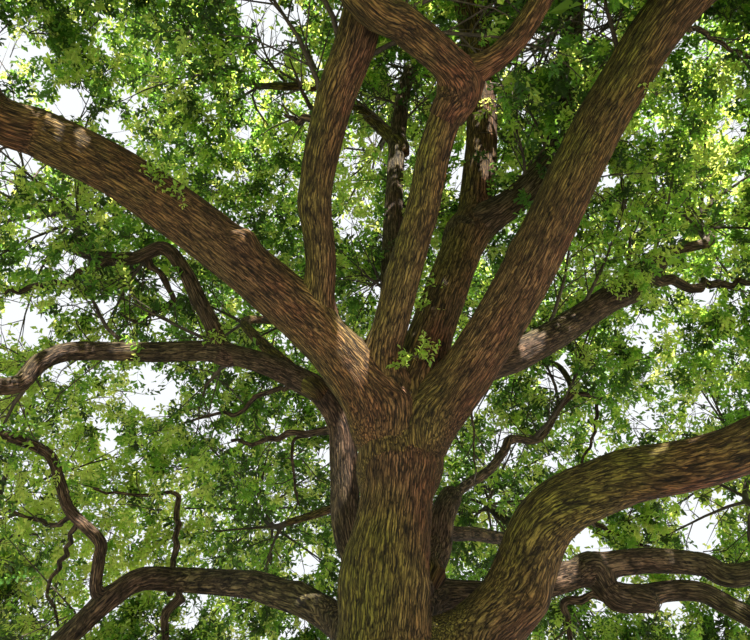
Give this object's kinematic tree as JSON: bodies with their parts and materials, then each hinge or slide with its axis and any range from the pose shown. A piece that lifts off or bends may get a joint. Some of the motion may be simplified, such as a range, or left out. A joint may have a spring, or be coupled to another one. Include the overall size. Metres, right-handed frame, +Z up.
{
  "type": "oak tree",
  "caption": "Broad old oak with a short flared bole, a forked leader, thick rising boughs in two tiers and a full rounded crown of leaf masses.",
  "frame": {"origin": "middle of the flat cut at the foot of the trunk, at ground level", "axes": "+Z up the trunk, +X to the right and +Y away from the viewer in the picture's view"},
  "size_m": [16.0706, 16.2588, 15.5608],
  "materials": {
    "bark": "rough ridged bark with green algae on its shaded sides",
    "leaves": "thin satin leaves, yellow-green where light shines through"
  },
  "bodies": {
    "root": {"trunk": "bark", "left_high_bough": "bark", "right_high_bough": "bark", "leader_bough": "bark", "centre_bough": "bark", "right_middle_bough": "bark", "right_low_bough": "bark", "left_low_bough": "bark", "right_back_low_bough": "bark", "left_middle_bough": "bark", "back_middle_bough": "bark", "back_high_bough": "bark", "low_back_limb": "bark", "left_riser": "bark", "right_back_bough": "bark", "centre_left_bough": "bark", "centre_right_bough": "bark", "right_middle_fork": "bark", "left_middle_riser": "bark", "left_low_riser": "bark", "right_low_stub": "bark", "right_low_fork": "bark", "front_left_limb": "bark", "front_right_limb": "bark", "right_back_limb": "bark", "left_back_limb": "bark", "back_right_limb": "bark", "back_left_limb": "bark", "upper_back_limb": "bark", "upper_left_limb": "bark", "upper_right_limb": "bark", "low_leaves_1": "leaves", "low_leaves_2": "leaves", "low_leaves_3": "leaves", "low_leaves_4": "leaves", "low_leaves_5": "leaves", "low_leaves_6": "leaves", "low_leaves_7": "leaves", "low_leaves_8": "leaves", "low_leaves_9": "leaves", "low_leaves_10": "leaves", "middle_leaves_1": "leaves", "middle_leaves_2": "leaves", "middle_leaves_3": "leaves", "middle_leaves_4": "leaves", "middle_leaves_5": "leaves", "middle_leaves_6": "leaves", "middle_leaves_7": "leaves", "middle_leaves_8": "leaves", "upper_leaves_1": "leaves", "upper_leaves_2": "leaves", "upper_leaves_3": "leaves", "upper_leaves_4": "leaves", "upper_leaves_5": "leaves", "upper_leaves_6": "leaves", "top_leaves_1": "leaves"}
  },
  "joints": []
}
